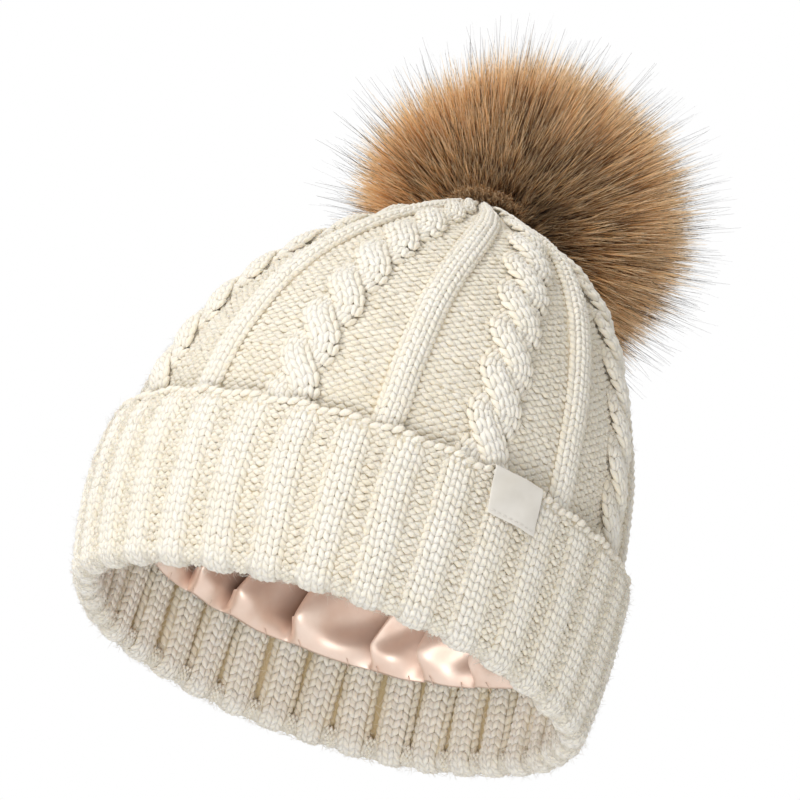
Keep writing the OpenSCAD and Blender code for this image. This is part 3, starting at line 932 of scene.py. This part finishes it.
bm = bmesh.new()
for k in range(5):
    a = 2 * math.pi * k / 5
    thread_tube(bm, [(0.5 * math.cos(a), 0.5 * math.sin(a), 176.9),
                     (0.7 * math.cos(a + 0.6), 0.7 * math.sin(a + 0.6), 178.4),
                     (0.4 * math.cos(a + 1.2), 0.4 * math.sin(a + 1.2), 179.3)], 0.35, 6)
bmesh.ops.create_icosphere(bm, subdivisions=2, radius=1.2,
                           matrix=Matrix.Translation((0, 0, 176.7)))
built("lining_tack_stitch", bm, rose_thread, "hat", "sewing_thread", "lining_tack")

# ---- Side label ----
# A length of white satin ribbon folded over the cuff's top edge, a flap on
# each side, and sewn through both. It is blank.

LABEL_TURN = math.radians(26.5)
LABEL_W = 21.0
LABEL_H = 17.0
LABEL_TOP = 65.6
LABEL_BEND = 3.2        # ribbon on each side that bends over the edge, mm
white_satin = satin_material("white_satin_ribbon", "#e4dfd6", "#d6d0c5", 0.35)


def label_point(across, down):
    """A point of the ribbon: across it from its middle, and down from the fold, mm.

    Below zero is the back flap.
    """
    outside = down >= 0
    drop = abs(down)
    bow = 0.5 * (1 - (2 * across / LABEL_W) ** 2)
    z = LABEL_TOP - max(drop - LABEL_BEND, 0)
    bent = min(drop / LABEL_BEND, 1) * math.pi / 2
    z -= 1.1 * (1 - math.cos(bent))
    reach = LABEL_BEND * math.sin(bent)
    middle_r = CUFF_R - 3.1
    r = middle_r + (reach if outside else -reach)
    if outside:
        r += 0.4 + bow + 0.5 * (drop / LABEL_H) ** 2 + 0.25 * math.sin(across * 0.5 + drop * 0.35)
    angle = LABEL_TURN + across / CUFF_R + 0.0012 * drop
    return (r * math.sin(angle), -r * math.cos(angle), z)


bm = bmesh.new()
columns, rows = 18, 34
grid = bmesh.ops.create_grid(bm, x_segments=columns, y_segments=rows, size=0.5)["verts"]
back_flap, front_flap = 11.0, LABEL_H + LABEL_BEND
for vert in grid:
    across = vert.co.x * LABEL_W
    down = -back_flap + (vert.co.y + 0.5) * (back_flap + front_flap)
    vert.co = Vector(label_point(across, down))
shape = slump(np.array([v.co[:] for v in bm.verts]))
for vert, place in zip(bm.verts, shape):
    vert.co = Vector(place)
label = built("side_label_ribbon", bm, white_satin, "hat", "satin_label", "side_label")
thicken = label.modifiers.new("ribbon", "SOLIDIFY")
thicken.thickness = 0.35 * MM
thicken.offset = 0
rounder = label.modifiers.new("finer", "SUBSURF")
rounder.levels = rounder.render_levels = 1

white_thread = thread_material("white_sewing_thread", "#e6e1d8")
bm = bmesh.new()
for k in range(8):
    across = -LABEL_W / 2 + 2.2 + k * (LABEL_W - 4.4) / 7
    points = []
    for shift in (-0.8, -0.4, 0.4, 0.8):
        x, y, z = label_point(across + shift, front_flap - 1.6)
        grow = 1 + (0.45 if abs(shift) < 0.6 else 0.1) / CUFF_R
        points.append((x * grow, y * grow, z))
    thread_tube(bm, slump(np.array(points)), 0.16, 6)
built("label_seam_stitches", bm, white_thread, "hat", "label_thread", "label_stitches")

# ---- Press-stud ----
# A nickel-plated press-stud sewn through a felt patch: the ball half is on the
# hat, and the socket with its sprung ring and bar is on the pompom.

def nickel_material():
    """Nickel plate on stamped steel: smooth and warm grey, with fine tumbling marks."""
    material, tree = blank_material("nickel_plated_steel")
    place = add_node(tree, "ShaderNodeTexCoord")
    marks = add_node(tree, "ShaderNodeTexNoise", {"Vector": place.outputs["Object"],
                     "Scale": 1 / (0.8 * MM), "Detail": 4.0})
    rough = add_node(tree, "ShaderNodeMapRange", {"Value": marks.outputs["Fac"], 3: 0.22,
                     4: 0.4})
    bump = add_node(tree, "ShaderNodeBump", {"Height": marks.outputs["Fac"], "Strength": 0.1,
                    "Distance": 0.05 * MM})
    skin = add_node(tree, "ShaderNodeBsdfPrincipled", {
        "Base Color": linear("#c9c3b8"), "Metallic": 1.0, "Roughness": rough.outputs[0],
        "Normal": bump.outputs[0]})
    add_node(tree, "ShaderNodeOutputMaterial", {"Surface": skin.outputs[0]})
    return material


nickel = nickel_material()
for part in ("press_stud", "snap_spring", "snap_socket", "tilt_bar"):
    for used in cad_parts[part].material_slots:
        used.material = nickel


def felt_material(name, light, dark, fibre_mm):
    """Pressed or matted fibre: quite matt, mottled, with a short nap."""
    material, tree = blank_material(name)
    place = add_node(tree, "ShaderNodeTexCoord")
    nap = add_node(tree, "ShaderNodeTexNoise", {"Vector": place.outputs["Object"],
                   "Scale": 1 / (fibre_mm * MM), "Detail": 4.0, "Roughness": 0.7})
    colour = add_node(tree, "ShaderNodeMix", {0: nap.outputs["Fac"], 6: linear(dark),
                      7: linear(light)}, data_type="RGBA")
    bump = add_node(tree, "ShaderNodeBump", {"Height": nap.outputs["Fac"], "Strength": 0.7,
                    "Distance": 0.3 * MM})
    skin = add_node(tree, "ShaderNodeBsdfPrincipled", {
        "Base Color": colour.outputs[2], "Roughness": 0.95, "Sheen Weight": 0.3,
        "Normal": bump.outputs[0]})
    add_node(tree, "ShaderNodeOutputMaterial", {"Surface": skin.outputs[0]})
    return material


cream_felt = felt_material("pressed_wool_felt", "#efe8d9", "#d8ccb4", 0.7)
bm = bmesh.new()
PATCH_R, PATCH_Z = 10.0, 180.4
disc = bmesh.ops.create_circle(bm, cap_ends=True, segments=48, radius=PATCH_R,
                               matrix=Matrix.Translation((0, 0, PATCH_Z)))
for inset in range(4):
    bmesh.ops.inset_region(bm, faces=bm.faces[:1], thickness=2.0)
for vert in bm.verts:
    flat = math.hypot(vert.co.x, vert.co.y)
    a = math.atan2(vert.co.y, vert.co.x)
    vert.co.z -= 0.5 * (flat / PATCH_R) ** 2 + 0.12 * math.sin(5 * a) * flat / PATCH_R
patch = built("stud_felt_patch", bm, cream_felt, "hat", "felt", "stud_backing_patch")
thicken = patch.modifiers.new("felt", "SOLIDIFY")
thicken.thickness = 1.2 * MM
thicken.offset = -1 if patch.data.polygons[0].normal.z > 0 else 1

bm = bmesh.new()
for k in range(4):
    a = math.radians(45 + 90 * k)
    for shift in (-0.35, 0.0, 0.35):
        line = []
        for out, z in ((5.9, 187.2), (6.1, 188.1), (7.0, 188.35), (7.9, 188.0), (8.3, 186.9)):
            line.append((out * math.cos(a) - shift * math.sin(a),
                         out * math.sin(a) + shift * math.cos(a), z))
        thread_tube(bm, line, 0.2, 6)
built("stud_stitch_bars", bm, rose_thread, "hat", "sewing_thread", "stud_stitches")

# ---- Pompom's core ----
# A circle of brown knitted backing gathered round a wadding ball, its neck
# bound with thread, and hung from the press-stud's bar by a wound thread
# shank that is knotted behind a nylon washer.

PIVOT_Z = 194.4
TILT = math.radians(85)
HEADING = math.radians(15)
REACH = 38.0
CORE_R = 18.0
NECK_LOW, NECK_R = 8.0, 6.0
to_hat = (Matrix.Translation((0, 0, PIVOT_Z)) @ Matrix.Rotation(-HEADING, 4, "Z")
          @ Matrix.Rotation(-TILT, 4, "X"))


def revolve(bm, outline, steps=48):
    """Spins an outline of (radius, height) about the Z axis into a closed skin."""
    verts = [bm.verts.new((r, 0, z)) for r, z in outline]
    edges = [bm.edges.new(pair) for pair in zip(verts, verts[1:])]
    bmesh.ops.spin(bm, geom=verts + edges, axis=(0, 0, 1), cent=(0, 0, 0),
                   angle=2 * math.pi, steps=steps, use_merge=True)
    bmesh.ops.remove_doubles(bm, verts=bm.verts[:], dist=1e-4)


def on_pompom(bm):
    """Moves a bmesh from the pompom's own frame, on its bar and up its shank, to its place."""
    bmesh.ops.transform(bm, matrix=to_hat, verts=bm.verts[:])


def ball_outline(radius, low, neck):
    """Half outline of a ball at REACH that runs down into a neck, from neck to pole."""
    first = math.pi - math.asin(neck / radius)
    bend = [(neck, z) for z in np.linspace(low, REACH + radius * math.cos(first) - 1.5, 4)]
    arc = [(radius * math.sin(a), REACH + radius * math.cos(a))
           for a in np.linspace(first - 0.12, 0, 22)]
    return bend + [(max(r, 0), z) for r, z in arc]


brown_backing = felt_material("brown_knitted_backing", "#836649", "#5d4630", 0.9)
bm = bmesh.new()
revolve(bm, ball_outline(CORE_R, NECK_LOW, NECK_R))
for vert in bm.verts:
    a = math.atan2(vert.co.y, vert.co.x)
    pinch = max(0, 1 - (vert.co.z - NECK_LOW) / 16)
    grow = 1 - 0.06 * pinch * (1 + math.cos(14 * a))
    vert.co.x, vert.co.y = vert.co.x * grow, vert.co.y * grow
on_pompom(bm)
backing = built("pompom_backing_skin", bm, brown_backing, "pompom", "fur_backing",
                "pompom_backing")
thicken = backing.modifiers.new("skin", "SOLIDIFY")
thicken.thickness = 1.0 * MM
thicken.offset = -1

wadding = felt_material("polyester_wadding", "#f4f2ec", "#dedad0", 1.6)
bm = bmesh.new()
revolve(bm, [(0, 14.5)] + ball_outline(CORE_R - 1.3, 14.5, NECK_R - 1.3), 40)
for vert in bm.verts:
    lump = 0.25 * math.sin(vert.co.x * 0.9) * math.sin(vert.co.y * 0.8 + vert.co.z * 0.7)
    vert.co *= 1 - abs(lump) / 40
on_pompom(bm)
stuffing = built("wadding_ball", bm, wadding, "pompom", "fibre_filling", "pompom_stuffing")

bm = bmesh.new()
turns, per_turn = 4, 24
coil = [((NECK_R + 0.5) * math.cos(2 * math.pi * k / per_turn),
         (NECK_R + 0.5) * math.sin(2 * math.pi * k / per_turn),
         NECK_LOW + 2.6 + 0.75 * k / per_turn) for k in range(turns * per_turn + 1)]
thread_tube(bm, coil, 0.38, 6)
on_pompom(bm)
built("neck_binding", bm, rose_thread, "pompom", "sewing_thread", "backing_tie")

bm = bmesh.new()
for shift in (-0.95, 0.0, 0.95):
    loop = [(shift, 1.25 * math.sin(a), 1.25 * math.cos(a))
            for a in np.linspace(math.radians(150), math.radians(-210), 25)]
    thread_tube(bm, loop, 0.42, 6)
strand_top = NECK_LOW + 2.2
for k in range(3):
    strand = [(0.52 * math.cos(2.1 * k + 0.5 * z), 0.52 * math.sin(2.1 * k + 0.5 * z), z)
              for z in np.linspace(1.2, strand_top, 16)]
    thread_tube(bm, strand, 0.5, 6)
for k in range(3):
    knot = [(1.1 * math.cos(a), 1.1 * math.sin(a) * math.cos(k),
             strand_top + 1.3 + 1.1 * math.sin(a) * math.sin(k + 0.4))
            for a in np.linspace(0, 2 * math.pi, 17)]
    thread_tube(bm, knot, 0.62, 6)
on_pompom(bm)
built("shank_and_knot", bm, rose_thread, "pompom", "sewing_thread", "thread_shank")

nylon, tree = blank_material("moulded_white_nylon")
place = add_node(tree, "ShaderNodeTexCoord")
grain = add_node(tree, "ShaderNodeTexNoise", {"Vector": place.outputs["Object"],
                 "Scale": 1 / (0.5 * MM)})
bump = add_node(tree, "ShaderNodeBump", {"Height": grain.outputs["Fac"], "Strength": 0.15,
                "Distance": 0.05 * MM})
skin = add_node(tree, "ShaderNodeBsdfPrincipled", {
    "Base Color": linear("#ecebe6"), "Roughness": 0.45, "Subsurface Weight": 0.2,
    "Subsurface Scale": 0.001, "Normal": bump.outputs[0]})
add_node(tree, "ShaderNodeOutputMaterial", {"Surface": skin.outputs[0]})
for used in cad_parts["shank_washer"].material_slots:
    used.material = nylon

# ---- Fur ----
# Long faux-fur pile, combed back all round from the press-stud: dense tan
# underfur, dark at its roots, with sparse long dark guard hairs.

FUR_R = 61.0
LOCKS = 2600
dice = np.random.default_rng(11)


def heading_of(polar, turn):
    """Unit vectors at a polar angle from the pompom's far pole."""
    return np.stack([np.sin(polar) * np.cos(turn), np.sin(polar) * np.sin(turn),
                     np.cos(polar)], -1)


def clear_of_hat(points, spare=3.5):
    """Moves points in the pompom's frame out of the crown, with spare mm, at every tilt."""
    for step in np.linspace(0, 1, 9):
        angle = TILT * (1 - step)
        c, s = math.cos(angle), math.sin(angle)
        x, y, z = points[..., 0], points[..., 1], points[..., 2]
        # The crown's own axes at this step: y and z turned back about the bar.
        hy, hz = c * y + s * z, -s * y + c * z + PIVOT_Z
        r = np.hypot(x, hy)
        rise = np.maximum(hz - BAND_TOP, 0)
        level = ((r / (CROWN_R + spare)) ** CROWN_POWER
                 + (rise / (CROWN_TOP - BAND_TOP + 2.5)) ** CROWN_POWER)
        grow = np.where(level < 1, np.maximum(level, 1e-3) ** (-1 / CROWN_POWER), 1.0)
        x, hy, hz = x * grow, hy * grow, BAND_TOP + (hz - BAND_TOP) * grow
        hz = hz - PIVOT_Z
        points = np.stack([x, c * hy - s * hz, s * hy + c * hz], -1)
    return points


HAIR_STEPS = np.array([0, 0.45, 0.77, 1.0])[None, :, None]


def swept(root, bend, tip):
    """Lines of four points from root to tip, on the curve that bend draws out."""
    t = HAIR_STEPS
    return (1 - t) ** 2 * root[:, None] + 2 * t * (1 - t) * bend[:, None] + t ** 2 * tip[:, None]


def hairs(count, first, last, reach_low, reach_high, gather, wander):
    """Hairs as lines of four points from the core to their tips, in the pompom's frame."""
    low, high = math.cos(math.radians(last)), math.cos(math.radians(first))
    polar = np.arccos(dice.uniform(low, high, count))
    turn = dice.uniform(0, 2 * math.pi, count)
    root = CORE_R * heading_of(polar, turn)
    flat = np.hypot(root[:, 0], root[:, 1])
    at_neck = (root[:, 2] < -14) & (flat < 7)
    root[:, :2] *= np.where(at_neck, 7 / np.maximum(flat, 0.5), 1)[:, None]
    tip_way = heading_of(polar, turn)
    reach = reach_low + (reach_high - reach_low) * dice.uniform(0, 1, count) ** 0.75
    reach = reach + 1.4 * np.sin(5 * turn + 2 * polar) + 1.2 * np.sin(7 * polar - 3 * turn)
    # The side towards the hat is trimmed flat, a little behind the bar.
    room = (REACH - 6) / np.maximum(-np.cos(polar), 0.2)
    reach = np.minimum(reach, room * dice.uniform(0.72, 1.1, count))
    tip = tip_way * reach[:, None]
    bend = 0.55 * reach[:, None] * heading_of(polar * 0.98, turn)
    t = HAIR_STEPS
    line = swept(root, bend, tip)
    locks = heading_of(np.arccos(dice.uniform(-1, 1, LOCKS)), dice.uniform(0, 2 * math.pi, LOCKS))
    nearest = np.concatenate([np.argmax(part @ locks.T, 1)
                              for part in np.array_split(tip_way, max(1, count // 4000))])
    pull = (locks[nearest] - tip_way) * reach[:, None]
    line = line + gather * (t ** 2) * pull[:, None]
    line = line + wander * t ** 1.5 * dice.normal(0, 1, (count, 1, 3))
    line = line + 0.35 * wander * dice.normal(0, 1, (count, 4, 3)) * t
    line = line + t ** 2 * np.array([5.5, -4.5, 0])
    line[..., 2] += REACH
    pale = np.interp(np.degrees(polar), [0, 70, 100, 120, 140, 170],
                     [0.9, 1.0, 0.99, 0.76, 0.56, 0.44])
    # Painted shade: the term in the hair's x heading darkens hairs on the side that points away
    # from the key lamp. The other terms vary the pile's tone, darker towards the neck side and by
    # lock and by hair.
    tone = (pale - 0.2 * tip_way[:, 0] + 0.14 * np.sin(5 * turn + 1.3) * np.sin(9 * polar + 0.5)
            + 0.26 * dice.normal(0, 1, LOCKS)[nearest] + 0.12 * dice.normal(0, 1, count))
    return clear_of_hat(line), np.clip(tone, 0, 1)


def fur_material(name, stops, dark):
    """Modacrylic hair: silky, brown at the root and tan at the tip, some hairs dark."""
    material, tree = blank_material(name)
    along = add_node(tree, "ShaderNodeUVMap", uv_map="yarn")
    split = add_node(tree, "ShaderNodeSeparateXYZ", {0: along.outputs[0]})
    ramp = add_node(tree, "ShaderNodeValToRGB", {0: split.outputs[1]})
    bands = ramp.color_ramp.elements
    while len(bands) < len(stops):
        bands.new(0.5)
    for band, (at, code) in zip(bands, stops):
        band.position = at
        band.color = linear(code)
    shade_and_tone = add_node(tree, "ShaderNodeAttribute", attribute_name="shade_and_tone")
    # The per-hair attribute mixes in the dark colour: dark locks and hairs, and painted shade on
    # the side away from the key lamp.
    colour = add_node(tree, "ShaderNodeMix", {0: shade_and_tone.outputs["Fac"], 6: linear(dark),
                      7: ramp.outputs[0]}, data_type="RGBA")
    skin = add_node(tree, "ShaderNodeBsdfPrincipled", {
        "Base Color": colour.outputs[2], "Roughness": 0.5, "Specular IOR Level": 0.35,
        "Sheen Weight": 0.15, "Sheen Tint": linear("#f0d9b8")})
    through = add_node(tree, "ShaderNodeBsdfTranslucent", {"Color": colour.outputs[2]})
    hair = add_node(tree, "ShaderNodeMixShader", {0: 0.42, 1: skin.outputs[0],
                    2: through.outputs[0]})
    add_node(tree, "ShaderNodeOutputMaterial", {"Surface": hair.outputs[0]})
    return material


underfur = fur_material("modacrylic_underfur", [(0.0, "#4a2f19"), (0.35, "#966739"),
                        (0.6, "#dca66b"), (0.8, "#f8d09a"), (1.0, "#ffeac8")], "#5f3c20")
guard_hair = fur_material("modacrylic_guard_hair", [(0.0, "#3a2718"), (0.5, "#3f2b1c"),
                          (0.8, "#3a2a20"), (1.0, "#33261e")], "#20150d")
turn_3 = np.array(to_hat.to_3x3())
turn_t = np.array(to_hat.translation)
FUR_TOP = 276.5         # no hair passes this height, mm


def fur_piece(name, count, first, last, reach_low, reach_high, gather, wander, widths,
              material, power):
    """One lot of the fur, rooted from first to last degrees round from the far pole."""
    lines, tone = hairs(count, first, last, reach_low, reach_high, gather, wander)
    points, faces, corners = ribbons(dice, lines, widths)
    points = points @ turn_3.T + turn_t
    points[..., 2] = np.minimum(points[..., 2], FUR_TOP)
    shade_and_tone = np.repeat(np.clip(tone * power, 0, 1)[:, None], points.shape[1], 1)
    return mesh_piece(name, points.reshape(-1, 3), faces, material, "pompom", "faux_fur",
                      "pompom_fur", corners=corners, shade_and_tone=shade_and_tone)


thin = 1
for k in range(4):
    fur_piece(f"underfur_{k + 1}", 21000 // thin, 0, 170, 40, FUR_R + 7, 0.42, 2.4,
              (0.42, 0.4, 0.3, 0.06), underfur, 1.1)
fur_piece("dark_hair", 9000 // thin, 96, 168, 36, FUR_R - 4, 0.8, 1.2,
          (0.4, 0.38, 0.28, 0.06), guard_hair, 0.9)
fur_piece("guard_hairs", 4200 // thin, 30, 118, 58, 79, 0.5, 3.0, (0.2, 0.19, 0.15, 0.05),
          guard_hair, 0.9)

# Short hairs that fold forward over the press-stud and hide it. They lie on the
# socket, and stay there as the pompom tilts.
count = 6000 // thin
swing = dice.uniform(-2.5, 2.5, count)
wide = 7 + 9 * dice.uniform(0, 1, count) ** 1.3
height = 187.2 + 10 * (1 - (wide / 19) ** 2) * dice.uniform(0, 1, count) ** 0.8
tips = np.stack([wide * np.sin(swing) + 0.8, 1.0 - wide * np.cos(swing), height], -1)
tips = tips + dice.normal(0, 0.8, (count, 3))
begin = np.array([4.0, 21.0, 197.0]) + dice.normal(0, 1, (count, 3)) * [7, 2, 4]
top = tips * [0.9, 0.5, 1] + [0.5, 7.0, 2.5] + dice.normal(0, 1.8, (count, 3))
line = swept(begin, top, tips)
points, faces, corners = ribbons(dice, line, (0.4, 0.38, 0.3, 0.06))
tone = 0.5 + 0.25 * np.sin(2.3 * tips[:, 0] + height) + dice.normal(0, 0.18, count)
shade_and_tone = np.repeat(np.clip(tone, 0, 1)[:, None], points.shape[1], 1)
mesh_piece("collar_hairs", points.reshape(-1, 3), faces, underfur, "socket", "faux_fur",
           "pompom_fur", corners=corners, shade_and_tone=shade_and_tone)

# A dark shell half way out in the pile that stands for its dense underfur, which no light comes
# through; its dark colour is painted shade deep in the pile.
bm = bmesh.new()
bmesh.ops.create_icosphere(bm, subdivisions=5, radius=1.0)
ways = np.array([v.co[:] for v in bm.verts])
polar = np.arccos(np.clip(ways[:, 2], -1, 1))
size = 38 + 1.5 * np.sin(ways[:, 0] * 9) * np.sin(ways[:, 1] * 8 + ways[:, 2] * 7)
size = size * np.interp(polar, [0, 1.6, 2.4, math.pi], [1, 1, 0.62, 0.42])
mat_points = clear_of_hat(ways * size[:, None] + [0, 0, REACH], spare=11.0)
for vert, place in zip(bm.verts, mat_points @ turn_3.T + turn_t):
    vert.co = Vector(place)
matted = felt_material("pile_shell_painted_shade", "#6d4e33", "#3b291a", 1.2)
built("dense_pile_shade_shell", bm, matted, "pompom", "faux_fur", "pompom_fur")
